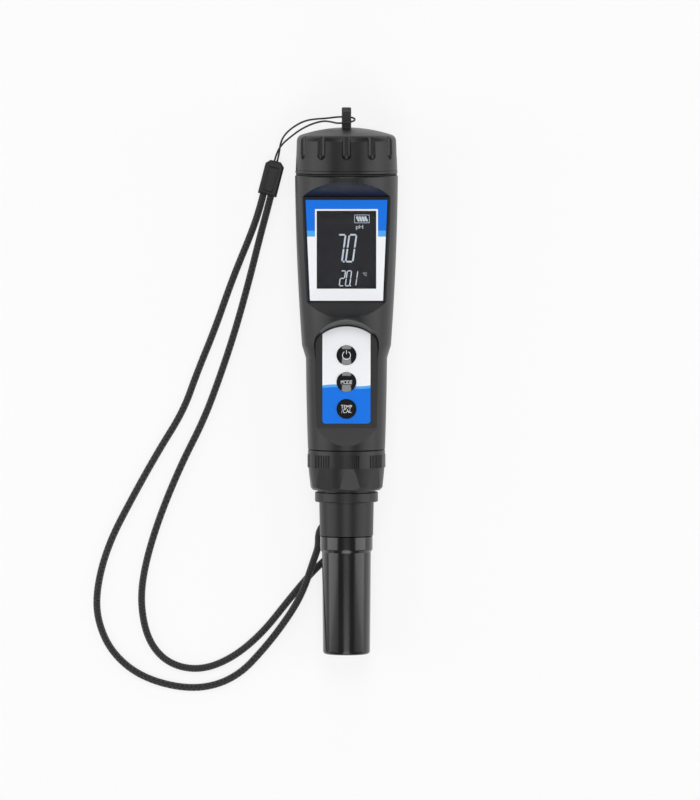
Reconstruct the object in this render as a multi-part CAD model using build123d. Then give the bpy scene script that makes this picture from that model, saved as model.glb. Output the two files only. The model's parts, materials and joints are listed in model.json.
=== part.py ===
from build123d import *
import math
import os

# All sizes are millimetres and degrees.
# The pen is drawn upright: Z runs from the probe cap's end to the lanyard eye, and the display faces -Y.
# It is then laid on its back, as it rests on a table, with the eye towards +Y and the display facing up.

# Clearances
running_gap = 0.08
seat_gap = 0.03
seam_gap = 0.15
loose_gap = 0.3

# Probe cap
probe_cap_length = 43.8
probe_cap_end_radius = 8.7
probe_cap_neck_radius = 9.07
probe_cap_lip_radius = 9.7
probe_cap_lip_height = 5.0
probe_cap_flare = 1.0
probe_cap_end_round = 1.1
probe_cap_floor = 1.8
probe_cap_wall = 1.25
sponge_height = 4.2
sponge_gap = 0.1

# Probe body, which is the plug-in electrode
barrel_length = 12.5
barrel_bottom_radius = 9.85
barrel_top_radius = 10.1
spigot_length = 12.8
spigot_radius = 8.3
electrode_radius = 6.9
guard_end_station = 12.0
electrode_face_depth = 8.0
guard_wall = 1.2
guard_slot_width = 4.0
guard_slot_height = 5.5
guard_slot_count = 4
neck_radius = 10.6
shoulder_radius = 11.6
shoulder_height = 1.7
plug_radius = 10.1
plug_length = 11.8
pin_count = 6
pin_circle_radius = 5.5
pin_radius = 0.5
pin_length = 5.0
spigot_ring_drop = 4.5
spigot_ring_section = 0.7
plug_ring_rise = 6.0
plug_ring_section = 0.7

# Sensors in the electrode's face
sensor_seat_depth = 4.0
bulb_radius = 2.5
bulb_stem_radius = 1.6
bulb_stem_length = 1.2
bulb_offset = (-2.2, 0.6)
junction_radius = 1.3
junction_height = 0.8
junction_offset = (2.3, 2.6)
electrode_pin_radius = 0.7
electrode_pin_height = 3.0
electrode_pin_offsets = ((1.1, -3.7), (3.7, -1.6))
thermometer_radius = 0.95
thermometer_height = 4.0
thermometer_offset = (-1.2, 4.4)

# Stop ring and lock collar
stop_ring_height = 3.7
stop_ring_radius = 11.65
stop_ring_round = 0.4
collar_to_ring_gap = 0.7
collar_height = 15.0
collar_bottom_radius = 13.5
collar_cone_top_radius = 14.05
collar_grip_radius = 14.4
collar_grip_bottom = 8.4
collar_grip_height = 4.8
collar_bottom_chamfer = 1.1
collar_lip_height = 1.5
collar_bore_radius = 12.0
facet_count = 8
facet_bottom_distance = 12.84
facet_top_distance = 14.0
facet_turn = 5.5
rib_pitch = 0.8
rib_groove_width = 0.4
rib_groove_depth = 0.5
rib_groove_count = 9

# Housing outline
housing_bottom_radius = 14.25
housing_waist_radius = 15.0
housing_lower_length = 33.5
housing_lower_bulge = 0.12
housing_step_height = 4.8
housing_step_radius = 16.45
housing_upper_length = 62.7
housing_upper_bulge = 0.5
housing_rim_radius = 19.0
housing_step_round = 1.6
housing_rim_round = 0.4
housing_wall = 2.2
front_wall = 2.1
bay_shoulder_drop = 4.0
socket_length = 5.95
socket_ledge_height = 2.0
socket_boss_radius = 7.0
socket_boss_rise = 0.8
cap_neck_height = 8.9
cap_neck_radius = 16.6
cap_neck_bore_radius = 15.3

# Display recess and the display stack
display_flat = 9.6
display_top_margin = 7.8
display_top_run = 0.63
display_bottom_run = 0.79
display_label_margin = 0.3
display_label_top_width = 31.6
display_label_bottom_width = 28.3
display_label_thickness = 0.4
window_width = 21.9
window_height = 28.7
window_drop = 5.0
window_foot = 4.7
window_ledge = 1.2
window_thickness = 1.0
panel_thickness = 1.1
panel_side_margin = 1.8
panel_end_margin = 2.2
carrier_thickness = 2.0
carrier_side_margin = 2.1
carrier_end_margin = 2.7
carrier_rim = 1.5
carrier_floor = 0.8

# Keypad recess and the buttons
keypad_flat = 9.4
keypad_bottom_margin = 8.1
keypad_half_width = 11.4
keypad_length = 37.8
keypad_arch_radius = 14.9
keypad_arch_round = 5.0
keypad_draft = 18.0
keypad_bottom_run = 1.3
keypad_head_lead = 8.0
keypad_foot_drop = 0.3
keypad_label_width = 17.7
keypad_label_length = 35.8
keypad_label_lift = 1.7
keypad_label_arch_radius = 15.5
keypad_label_round = 1.1
keypad_label_thickness = 0.4
button_radius = 3.6
button_rise = 0.75
button_dome = 0.45
button_lead = 7.1
button_pitch = 9.9
button_names = ("calibration_button", "mode_button", "power_button")
button_travel = 0.35
button_flange_radius = 4.3
button_flange_thickness = 0.6
button_foot_radius = 1.2
button_foot_length = 0.5
keypad_seal_thickness = 0.5
keypad_seal_width = 15.0
keypad_seal_margin = 1.2
switch_width = 4.0
switch_plunger_radius = 1.0
switch_plunger_height = 0.4

# Main board
board_thickness = 1.2
board_top_margin = 6.3
board_upper_width = 25.0
board_lower_width = 18.6
board_upper_length = 56.0
board_bottom_margin = 10.2
boss_radius = 1.9
screw_radius = 0.75
screw_head_radius = 1.5
screw_head_height = 1.0
screw_length = 3.4
boss_lower = (7.2, 3.2)
boss_upper = (10.4, 1.9)
processor_rise = 11.0
processor_width = 7.0
processor_height = 1.0
amplifier_rise = 21.5
amplifier_width = 5.0
amplifier_length = 4.0
amplifier_height = 1.2

# Battery bay
cell_radius = 5.25
cell_length = 43.8
cell_nub_radius = 1.9
cell_nub_length = 0.8
cell_spread = 5.4
cell_depth = 8.2
cell_top_margin = 3.0
tray_floor = 2.2
tray_lead = 1.0
tray_back = 8.2
tray_front = 0.4
contact_radius = 3.2
contact_height = 2.1
plate_thickness = 0.5
plate_rise = 1.2
plate_dimple_radius = 2.6
plate_dimple_tip = 1.2
neck_ring_section = 0.38
neck_ring_rise = 5.0
neck_groove_height = 1.1

# Battery cap
gasket_thickness = 0.7
gasket_radius = 18.7
cap_ring_height = 1.15
cap_ring_radius = 18.85
cap_skirt_radius = 18.75
cap_shoulder_radius = 18.35
cap_dome_rise = 4.5
cap_shoulder_round = 2.6
cap_height = 15.75
cap_inner_height = 9.0
cap_inner_dome = 2.4
flute_count = 12
flute_radius = 1.86
flute_depth = 1.0
flute_bottom = 4.0

# Lanyard eye
eye_height = 7.4
eye_thickness = 3.5
eye_width = 7.2
eye_round = 1.6
eye_strut = 1.7
eye_bar = 1.5
eye_sill = 1.1
eye_seat_depth = 1.4

# Lanyard: the clip's frame is set by its middle and its lean, seen from above
clip_length = 13.0
clip_width = 7.06
clip_height = 4.6
clip_lean = 14.5
clip_middle = (-27.82, 75.38)
clip_corner = 1.6
clip_bevel = 0.7
cord_spread = 1.42
cord_lead = 6.5
cord_diameter = 2.6
string_spread = 0.5
string_lead = 3.0
string_diameter = 0.7

# Stations along the pen, stacked up from the probe cap's end
barrel_bottom = probe_cap_length + seam_gap
barrel_top = barrel_bottom + barrel_length
stop_ring_top = barrel_top + stop_ring_height
collar_bottom = stop_ring_top + collar_to_ring_gap
collar_top = collar_bottom + collar_height
shoulder_bottom = collar_bottom + collar_lip_height + seam_gap
shoulder_top = shoulder_bottom + shoulder_height
thread_bottom = shoulder_top + seam_gap
plug_top = shoulder_top + plug_length
housing_bottom = collar_top + seam_gap
waist = housing_bottom + housing_lower_length
step_top = waist + housing_step_height
rim = step_top + housing_upper_length
neck_top = rim + cap_neck_height
gasket_bottom = rim + seat_gap
cap_ring_bottom = gasket_bottom + gasket_thickness + seat_gap
cap_bottom = cap_ring_bottom + cap_ring_height + seat_gap
cap_apex = cap_bottom + cap_height
pen_length = cap_apex + eye_height
eye_slot_middle = cap_apex + (eye_sill + eye_height - eye_bar) / 2
spigot_ring_station = barrel_bottom - spigot_ring_drop
plug_ring_station = shoulder_top + plug_ring_rise
socket_bottom = plug_top + loose_gap
socket_top = socket_bottom + socket_length
bay_floor = socket_top + socket_ledge_height
display_flat_length = window_drop + window_height + window_foot
display_label_length = display_flat_length - 2 * display_label_margin
display_top = rim - display_top_margin
display_bottom = display_top - display_flat_length
window_middle = display_top - window_drop - window_height / 2
keypad_bottom = housing_bottom + keypad_bottom_margin
keypad_top = keypad_bottom + keypad_length
front_plane = -keypad_flat + front_wall
board_front = front_plane + panel_thickness + carrier_thickness + 2 * seat_gap
board_back = board_front + board_thickness
board_top = rim - board_top_margin
board_bottom = housing_bottom + board_bottom_margin
cell_top = neck_top - cell_top_margin
cell_bottom = cell_top - cell_length
button_heights = [keypad_bottom + button_lead + button_pitch * index for index in range(len(button_names))]

# How the pen lies: on the collar's grip and the fullest part of the housing
grip_station = collar_bottom + collar_grip_bottom
upper_middle = (step_top + rim) / 2
upper_middle_radius = (housing_step_radius + housing_rim_radius) / 2 + housing_upper_bulge
rest_slopes = [
    (housing_step_radius - collar_grip_radius) / (step_top - grip_station),
    (upper_middle_radius - collar_grip_radius) / (upper_middle - grip_station),
    (housing_rim_radius - collar_grip_radius) / (rim - grip_station),
]
rest_tilt = math.degrees(math.atan(max(rest_slopes)))

# The string's route on the table's frame: clip, eye, round the front strut and back to the clip
string_route = [
    (-24.5, 88.3, 5.0),
    (-22.9, 91.4, 8.2),
    (-19.6, 94.2, 11.1),
    (-15.5, 96.3, 14.2),
    (-11.4, 96.9, 17.1),
    (-7.4, 97.0, 19.8),
    (-3.0, 97.6, 20.9),
    (2.9, 97.4, 21.2),
    (3.2, 95.7, 25.4),
    (-3.0, 94.9, 25.4),
    (-5.6, 95.7, 21.8),
    (-8.7, 96.2, 17.0),
    (-13.0, 95.1, 13.4),
    (-17.0, 93.2, 10.6),
    (-20.6, 90.6, 7.9),
    (-23.9, 87.9, 5.2),
]

# The wrist cord's route: out of the clip, down the outer leg, over the inner leg, round by the pen and back
cord_route = [
    (-35.5, 54.5, 1.35),
    (-42.4, 37.8, 1.35),
    (-48.8, 19.4, 1.35),
    (-55.5, 3.1, 1.35),
    (-60.5, -11.0, 1.35),
    (-69.9, -26.0, 1.35),
    (-79.5, -43.2, 1.35),
    (-88.1, -59.8, 1.35),
    (-92.5, -75.4, 1.35),
    (-92.7, -87.9, 1.35),
    (-87.1, -100.9, 1.35),
    (-74.9, -110.5, 1.35),
    (-56.1, -114.6, 1.35),
    (-40.9, -110.1, 1.35),
    (-29.4, -97.9, 1.35),
    (-20.2, -85.4, 2.4),
    (-15.7, -76.8, 4.7),
    (-12.4, -66.9, 4.7),
    (-10.4, -61.3, 2.3),
    (-10.5, -56.9, 1.35),
    (-9.1, -53.5, 1.35),
    (-6.1, -52.4, 1.35),
    (-3.5, -55.0, 1.35),
    (-3.1, -59.8, 1.35),
    (-5.4, -63.9, 1.35),
    (-9.1, -67.2, 1.35),
    (-13.9, -72.0, 1.35),
    (-21.3, -80.9, 1.35),
    (-31.3, -93.5, 1.35),
    (-42.4, -102.7, 1.35),
    (-54.2, -107.2, 1.35),
    (-65.7, -105.0, 1.35),
    (-73.4, -96.8, 1.35),
    (-76.4, -83.5, 1.35),
    (-75.3, -70.2, 1.35),
    (-70.1, -52.1, 1.35),
    (-61.6, -31.3, 1.35),
    (-52.9, -14.3, 1.35),
    (-46.6, 2.7, 1.35),
    (-41.1, 19.4, 1.35),
    (-36.1, 37.5, 1.35),
    (-32.1, 53.6, 1.35),
]


def turned(*points):
    """A solid turned about the pen's axis from (radius, station) points."""
    return revolve(Plane.XZ * make_face(Polyline(*points, close=True)), Axis.Z)


def turned_face(face):
    """A solid turned about the pen's axis from a face drawn in (radius, station)."""
    return revolve(Plane.XZ * face, Axis.Z)


def rod(radius, bottom, top, x=0, y=0):
    """An upright rod between two stations."""
    return Pos(x, y, (bottom + top) / 2) * Cylinder(radius, top - bottom)


def tube(outer, inner, bottom, top):
    """An upright tube about the pen's axis."""
    return turned((inner, bottom), (outer, bottom), (outer, top), (inner, top))


def slab(x_low, x_high, y_low, y_high, z_low, z_high):
    """A box between two corners."""
    middle = Pos((x_low + x_high) / 2, (y_low + y_high) / 2, (z_low + z_high) / 2)
    return middle * Box(x_high - x_low, y_high - y_low, z_high - z_low)


def front_rod(radius, y_low, y_high, x, z):
    """A rod that points out of the pen's front."""
    return Pos(x, (y_low + y_high) / 2, z) * Rot(90, 0, 0) * Cylinder(radius, y_high - y_low)


def front_plane_at(distance):
    """A drawing plane in front of the axis, with its normal out of the display side."""
    return Plane(origin=(0, -distance, 0), x_dir=(1, 0, 0), z_dir=(0, -1, 0))


def ring_edges(solid, station):
    """The round edges that lie at one station."""
    return [
        edge
        for edge in solid.edges().filter_by(GeomType.CIRCLE)
        if abs(edge.center().Z - station) < 0.01 and abs(edge.bounding_box().size.Z) < 0.01
    ]


def outer_edges(ring):
    """The two outermost round edges of a ring."""
    return ring.edges().filter_by(GeomType.CIRCLE).sort_by(SortBy.RADIUS)[-2:]


def o_ring(middle_radius, section_radius, station):
    """A rubber ring about the pen's axis."""
    return Pos(0, 0, station) * Torus(middle_radius, section_radius)


def bowed(start, end, bulge):
    """An arc from one (radius, station) point to another, bowed outwards by the bulge."""
    middle = ((start[0] + end[0]) / 2 + bulge, (start[1] + end[1]) / 2)
    return ThreePointArc(start, middle, end)


def housing_outline(inset, bottom, top):
    """The housing's turned outline, drawn inwards by an inset, between two stations."""
    foot = (housing_bottom_radius - inset, housing_bottom)
    waist_point = (housing_waist_radius - inset, waist)
    step_point = (housing_step_radius - inset, step_top)
    rim_point = (housing_rim_radius - inset, rim)
    face = make_face(
        [
            Line((0, housing_bottom), foot),
            bowed(foot, waist_point, housing_lower_bulge),
            Line(waist_point, step_point),
            bowed(step_point, rim_point, housing_upper_bulge),
            Line(rim_point, (0, rim)),
            Line((0, rim), (0, housing_bottom)),
        ]
    )
    solid = turned_face(face)
    corners = ring_edges(solid, waist) + ring_edges(solid, step_top)
    solid = fillet(corners, housing_step_round)
    reach = 2 * housing_rim_radius
    return solid & slab(-reach, reach, -reach, reach, bottom, top)


def recess_prism(flat, bottom, top, bottom_run, top_run):
    """A flat cut across the front whose two ends slope up to the round surface."""
    outside = housing_rim_radius + 6
    rise = outside - flat
    profile = Polyline(
        (-flat, bottom),
        (-flat, top),
        (-outside, top + top_run * rise),
        (-outside, bottom - bottom_run * rise),
        close=True,
    )
    return extrude(Plane.YZ * make_face(profile), amount=outside, both=True)


def keypad_cut():
    """The keypad's recess: a flat with a sloped foot and a drafted round head."""
    foot = recess_prism(keypad_flat, keypad_bottom, waist - keypad_foot_drop, keypad_bottom_run, 0)
    low = waist - keypad_head_lead
    straight = Pos(0, (low + keypad_top) / 2) * Rectangle(2 * keypad_half_width, keypad_top - low)
    head = straight & Pos(0, keypad_top - keypad_arch_radius) * Circle(keypad_arch_radius)
    head = fillet(head.vertices().group_by(Axis.Y)[-1], keypad_arch_round)
    drawing = front_plane_at(keypad_flat) * head
    return foot + extrude(drawing, amount=10, taper=-keypad_draft)


def make_housing():
    shell = housing_outline(0, housing_bottom, rim)
    shell = fillet(ring_edges(shell, rim), housing_rim_round)
    thread_radius = collar_bore_radius - running_gap
    shell += rod(thread_radius, thread_bottom, housing_bottom)
    shell += rod(cap_neck_radius, rim, neck_top)
    shell -= recess_prism(display_flat, display_bottom, display_top, display_bottom_run, display_top_run)
    shell -= keypad_cut()
    reach = 2 * housing_rim_radius
    behind_front = slab(-reach, reach, front_plane, reach, 0, neck_top + reach)
    shell -= housing_outline(housing_wall, bay_floor, rim - bay_shoulder_drop) & behind_front
    shell -= rod(cap_neck_bore_radius, rim - bay_shoulder_drop - 1, neck_top + 1) & behind_front
    shell -= rod(cap_neck_bore_radius, rim - 0.01, neck_top + 1)
    shell -= rod(plug_radius + running_gap, thread_bottom - 1, socket_top)
    shell -= rod(socket_boss_radius + running_gap, socket_top - 1, bay_floor + 1)
    groove_low = rim + neck_ring_rise
    shell -= tube(cap_neck_radius + 1, neck_groove_radius(), groove_low, groove_low + neck_groove_height)
    shell -= window_opening()
    for height in button_heights:
        shell -= front_rod(button_radius + running_gap, -keypad_flat - 1, front_plane + 1, 0, height)
    for x, z in boss_places():
        shell += front_rod(boss_radius, front_plane - 0.5, board_front - seat_gap, x, z)
    for x, z in boss_places():
        shell -= front_rod(screw_radius, board_front - screw_length, board_front + 1, x, z)
    return shell


def neck_groove_radius():
    """The floor of the groove for the neck's seal ring."""
    return cap_neck_radius + running_gap - 2 * neck_ring_section - 2 * seat_gap


def window_opening():
    """A stepped hole in the front wall, for the window and the view of the panel."""
    seat = slab(
        -window_width / 2 - window_ledge - seat_gap,
        window_width / 2 + window_ledge + seat_gap,
        -display_flat - 1,
        -display_flat + window_thickness,
        window_middle - window_height / 2 - window_ledge - seat_gap,
        window_middle + window_height / 2 + window_ledge + seat_gap,
    )
    view = slab(
        -window_width / 2,
        window_width / 2,
        -display_flat - 1,
        front_plane + 1,
        window_middle - window_height / 2,
        window_middle + window_height / 2,
    )
    return seat + view


def boss_places():
    """The four screw places on the main board, as (x, station)."""
    low_x, low_rise = boss_lower
    high_x, high_drop = boss_upper
    low = board_bottom + low_rise
    high = board_top - high_drop
    return [(-low_x, low), (low_x, low), (-high_x, high), (high_x, high)]


def make_display_window():
    half_width = window_width / 2 + window_ledge
    half_height = window_height / 2 + window_ledge
    return slab(
        -half_width,
        half_width,
        -display_flat,
        -display_flat + window_thickness - seat_gap,
        window_middle - half_height,
        window_middle + half_height,
    )


def make_display_label():
    top = display_top - display_label_margin
    bottom = top - display_label_length
    half_top = display_label_top_width / 2
    half_bottom = display_label_bottom_width / 2
    outline = make_face(
        Polyline((-half_bottom, bottom), (half_bottom, bottom), (half_top, top), (-half_top, top), close=True)
    )
    hole = Pos(0, window_middle) * Rectangle(window_width, window_height)
    drawing = front_plane_at(display_flat + seat_gap) * (outline - hole)
    return extrude(drawing, amount=display_label_thickness)


def make_display_panel():
    half_width = window_width / 2 + panel_side_margin
    half_height = window_height / 2 + panel_end_margin
    low = front_plane + seat_gap
    return slab(
        -half_width,
        half_width,
        low,
        low + panel_thickness,
        window_middle - half_height,
        window_middle + half_height,
    )


def make_display_carrier():
    """The light guide's frame, a tray with a raised rim behind the panel."""
    half_width = window_width / 2 + carrier_side_margin
    half_height = window_height / 2 + carrier_end_margin
    low = front_plane + panel_thickness + 2 * seat_gap
    high = board_front - seat_gap
    body = slab(-half_width, half_width, low, high, window_middle - half_height, window_middle + half_height)
    hollow = slab(
        -half_width + carrier_rim,
        half_width - carrier_rim,
        low + carrier_floor,
        high + 1,
        window_middle - half_height + carrier_rim,
        window_middle + half_height - carrier_rim,
    )
    return body - hollow


def make_keypad_label():
    bottom = keypad_bottom + keypad_label_lift
    top = bottom + keypad_label_length
    sheet = Pos(0, (bottom + top) / 2) * Rectangle(keypad_label_width, keypad_label_length)
    corners = sheet.vertices().group_by(Axis.Y)[0]
    sheet = fillet(corners, keypad_label_round)
    sheet &= label_arch(top)
    for height in button_heights:
        sheet -= Pos(0, height) * Circle(button_radius + running_gap)
    return extrude(front_plane_at(keypad_flat + seat_gap) * sheet, amount=keypad_label_thickness)


def label_arch(top):
    """The round head of the keypad label with everything below it."""
    reach = 3 * keypad_label_length
    head = Pos(0, top - keypad_label_arch_radius) * Circle(keypad_label_arch_radius)
    below = Pos(0, top - keypad_label_arch_radius - reach / 2) * Rectangle(4 * keypad_label_width, reach)
    return head + below


def make_button(height):
    """A domed key with a retaining flange and a foot that reaches its switch."""
    face = -keypad_flat - keypad_label_thickness - button_rise
    stem = front_rod(button_radius, face + button_dome, front_plane + seat_gap, 0, height)
    dome_radius = (button_radius ** 2 + button_dome ** 2) / (2 * button_dome)
    ball = Pos(0, face + dome_radius, height) * Sphere(dome_radius)
    crown = front_rod(button_radius, face, face + button_dome, 0, height) & ball
    flange_low = front_plane + seat_gap
    flange_high = flange_low + button_flange_thickness
    flange = front_rod(button_flange_radius, flange_low, flange_high, 0, height)
    foot = front_rod(button_foot_radius, flange_high, flange_high + button_foot_length, 0, height)
    return stem + crown + flange + foot


def make_keypad_seal():
    """A rubber sheet behind the front wall, with a hole round each button's flange."""
    low = button_heights[0] - button_flange_radius - keypad_seal_margin
    high = button_heights[-1] + button_flange_radius + keypad_seal_margin
    half = keypad_seal_width / 2
    sheet = slab(-half, half, front_plane + seat_gap, front_plane + keypad_seal_thickness, low, high)
    for height in button_heights:
        sheet -= front_rod(button_flange_radius + seam_gap, front_plane - 1, front_plane + 2, 0, height)
    for x, z in boss_places():
        sheet -= front_rod(boss_radius + seam_gap, front_plane - 1, front_plane + 2, x, z)
    return sheet


def make_switches():
    """Three tactile switches on the board, one under each button."""
    top = front_plane + 2 * seat_gap + button_flange_thickness + button_foot_length + button_travel
    shoulder = top + switch_plunger_height
    half = switch_width / 2
    switches = []
    for height in button_heights:
        body = slab(-half, half, shoulder, board_front - seat_gap, height - half, height + half)
        body += front_rod(switch_plunger_radius, top, shoulder, 0, height)
        switches.append(body)
    return switches


def make_board():
    """The main circuit board, wide behind the display and narrow behind the keys."""
    low_half = board_lower_width / 2
    high_half = board_upper_width / 2
    split = board_top - board_upper_length
    board = slab(-low_half, low_half, board_front, board_back, board_bottom, split)
    board += slab(-high_half, high_half, board_front, board_back, split, board_top)
    for x, z in boss_places():
        board -= front_rod(screw_radius + 0.1, board_front - 1, board_back + 1, x, z)
    return board


def make_screws():
    """The four screws that hold the board on its bosses."""
    screws = []
    for x, z in boss_places():
        shank = front_rod(screw_radius - 0.02, board_front - screw_length + 0.3, board_back, x, z)
        low = board_back + seat_gap
        head = front_rod(screw_head_radius, low, low + screw_head_height, x, z)
        neck = front_rod(screw_radius - 0.02, board_back - 0.5, low + 0.1, x, z)
        screws.append(shank + neck + head)
    return screws


def make_board_parts():
    """The processor and the amplifier on the back of the board."""
    low = board_back + seat_gap
    half = processor_width / 2
    bottom = board_bottom + processor_rise
    processor = slab(-half, half, low, low + processor_height, bottom, bottom + processor_width)
    half = amplifier_width / 2
    bottom = board_bottom + amplifier_rise
    amplifier = slab(-half, half, low, low + amplifier_height, bottom, bottom + amplifier_length)
    return [processor, amplifier]


def make_tray():
    """The battery tray: a cradle for two cells with a floor below them."""
    floor_bottom = cell_bottom - contact_height - tray_floor
    outer = cap_neck_bore_radius - loose_gap
    body = rod(outer, floor_bottom, cell_top - tray_lead)
    body &= slab(-outer, outer, tray_front, tray_back, floor_bottom, cell_top)
    floor = rod(outer, floor_bottom, floor_bottom + tray_floor)
    floor &= slab(-outer, outer, tray_front, outer, floor_bottom, cell_top)
    for side in (-1, 1):
        body -= rod(cell_radius + loose_gap, floor_bottom - 1, cell_top + 1, side * cell_spread, cell_depth)
    return body + floor


def make_cell(side):
    """An AAA cell with its nub; the two cells stand head to tail."""
    low = cell_bottom
    high = cell_top
    x = side * cell_spread
    if side < 0:
        can = rod(cell_radius, low, high - cell_nub_length, x, cell_depth)
        nub = rod(cell_nub_radius, high - cell_nub_length, high, x, cell_depth)
    else:
        can = rod(cell_radius, low + cell_nub_length, high, x, cell_depth)
        nub = rod(cell_nub_radius, low, low + cell_nub_length, x, cell_depth)
    edges = can.edges().filter_by(GeomType.CIRCLE)
    return fillet(edges, 0.5) + nub


def make_tray_contacts():
    """Two pressed contacts between the tray's floor and the cells."""
    contacts = []
    for side in (-1, 1):
        low = cell_bottom - contact_height + seat_gap
        base = rod(contact_radius, low, low + 0.4, side * cell_spread, cell_depth)
        cone = Pos(side * cell_spread, cell_depth, (low + 0.4 + cell_bottom - seat_gap) / 2) * Cone(
            contact_radius - 0.4, 1.4, cell_bottom - seat_gap - low - 0.4
        )
        contacts.append(base + cone)
    return contacts


def make_contact_plate():
    """The plate under the cap that bridges the two cells."""
    low = cell_top + plate_rise
    plate = rod(cap_neck_bore_radius - seam_gap, low, low + plate_thickness)
    for side in (-1, 1):
        dimple = Pos(side * cell_spread, cell_depth, (cell_top + seat_gap + low) / 2) * Cone(
            plate_dimple_tip, plate_dimple_radius, low - cell_top - seat_gap
        )
        plate += dimple
    return plate


def make_cap_gasket():
    ring = tube(gasket_radius, cap_neck_radius + seat_gap, gasket_bottom, gasket_bottom + gasket_thickness)
    return fillet(outer_edges(ring), 0.3)


def make_cap_ring():
    ring = tube(
        cap_ring_radius, cap_neck_radius + running_gap, cap_ring_bottom, cap_ring_bottom + cap_ring_height
    )
    return chamfer(outer_edges(ring), 0.2)


def cap_body():
    """The cap's turned body: skirt, rounded shoulder and shallow dome."""
    shoulder = cap_bottom + cap_height - cap_dome_rise + 1.2
    skirt_top = (cap_shoulder_radius, shoulder)
    dome = ThreePointArc(
        skirt_top, (cap_shoulder_radius * 0.55, cap_apex - cap_dome_rise * 0.22), (0, cap_apex)
    )
    face = make_face(
        [
            Line((0, cap_bottom), (cap_skirt_radius, cap_bottom)),
            Line((cap_skirt_radius, cap_bottom), skirt_top),
            dome,
            Line((0, cap_apex), (0, cap_bottom)),
        ]
    )
    body = turned_face(face)
    return fillet(ring_edges(body, shoulder), cap_shoulder_round)


def make_battery_cap():
    body = cap_body()
    bore = cap_neck_radius + running_gap
    roof = cap_bottom + cap_inner_height
    body -= turned(
        (0, cap_bottom - 1),
        (bore, cap_bottom - 1),
        (bore, roof - 1.5),
        (bore - cap_inner_dome, roof),
        (0, roof),
    )
    centre = cap_shoulder_radius - flute_depth + flute_radius
    low = cap_bottom + flute_bottom + flute_radius
    cutter = rod(flute_radius, low, cap_apex + 1, 0, -centre)
    cutter += Pos(0, -centre, low) * Sphere(flute_radius)
    for index in range(flute_count):
        body -= Rot(0, 0, 360 / flute_count * index) * cutter
    half = eye_thickness / 2 + seat_gap
    depth = eye_width / 2 + seat_gap
    seat = slab(-half, half, -depth, depth, cap_apex - eye_seat_depth, cap_apex + 1)
    return body - seat


def make_lanyard_eye():
    """An arch with its hole across the pen, so that a string loops round its front strut."""
    low = cap_apex - eye_seat_depth + seat_gap
    top = cap_apex + eye_height
    arch = Pos(0, (low + top) / 2) * Rectangle(eye_width, top - low)
    arch = fillet(arch.vertices().group_by(Axis.Y)[-1], eye_round)
    hole_low = cap_apex + eye_sill
    hole_high = top - eye_bar
    hole_width = eye_width - 2 * eye_strut
    hole = Pos(0, (hole_low + hole_high) / 2) * RectangleRounded(hole_width, hole_high - hole_low, 1.2)
    body = extrude(Plane.YZ * (arch - hole), amount=eye_thickness / 2, both=True)
    rims = [edge for edge in body.edges() if edge.center().Z > cap_apex + 0.5 and abs(edge.center().X) > 1]
    return chamfer(rims, 0.3)


def make_collar():
    """The lock collar: a faceted cone below a ribbed grip band."""
    grip_low = collar_bottom + collar_grip_bottom
    grip_high = grip_low + collar_grip_height
    rim_radius = collar_grip_radius - 0.15
    lip_bore = neck_radius + running_gap
    body = turned(
        (lip_bore, collar_bottom),
        (collar_bottom_radius - collar_bottom_chamfer, collar_bottom),
        (collar_bottom_radius, collar_bottom + collar_bottom_chamfer),
        (collar_cone_top_radius, grip_low),
        (collar_grip_radius, grip_low),
        (collar_grip_radius, grip_high),
        (rim_radius, grip_high),
        (rim_radius, collar_top - 0.3),
        (rim_radius - 0.3, collar_top),
        (collar_bore_radius, collar_top),
        (collar_bore_radius, collar_bottom + collar_lip_height),
        (lip_bore, collar_bottom + collar_lip_height),
    )
    facet = Polyline(
        (-facet_bottom_distance, collar_bottom - 0.01),
        (-facet_top_distance, grip_low),
        (-collar_grip_radius - 4, grip_low),
        (-collar_grip_radius - 4, collar_bottom - 0.01),
        close=True,
    )
    facet_cutter = extrude(Plane.YZ * make_face(facet), amount=12, both=True)
    groove = slab(
        -rib_groove_width / 2,
        rib_groove_width / 2,
        -collar_grip_radius - 1,
        -collar_grip_radius + rib_groove_depth,
        grip_low,
        grip_high,
    )
    groove_turn = math.degrees(rib_pitch / collar_grip_radius)
    for index in range(facet_count):
        turn = facet_turn + 360 / facet_count * index
        body -= Rot(0, 0, turn) * facet_cutter
        for rib in range(rib_groove_count):
            body -= Rot(0, 0, turn + (rib - (rib_groove_count - 1) / 2) * groove_turn) * groove
    return body


def make_stop_ring():
    ring = tube(stop_ring_radius, barrel_top_radius + seat_gap, barrel_top, stop_ring_top - seat_gap)
    return fillet(outer_edges(ring), stop_ring_round)


def seal_groove(surface_radius, section_radius, station):
    """A groove for a rubber ring in a spigot."""
    half = section_radius + 0.1
    floor = surface_radius - 2 * section_radius
    return tube(surface_radius + 1, floor, station - half, station + half)


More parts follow.
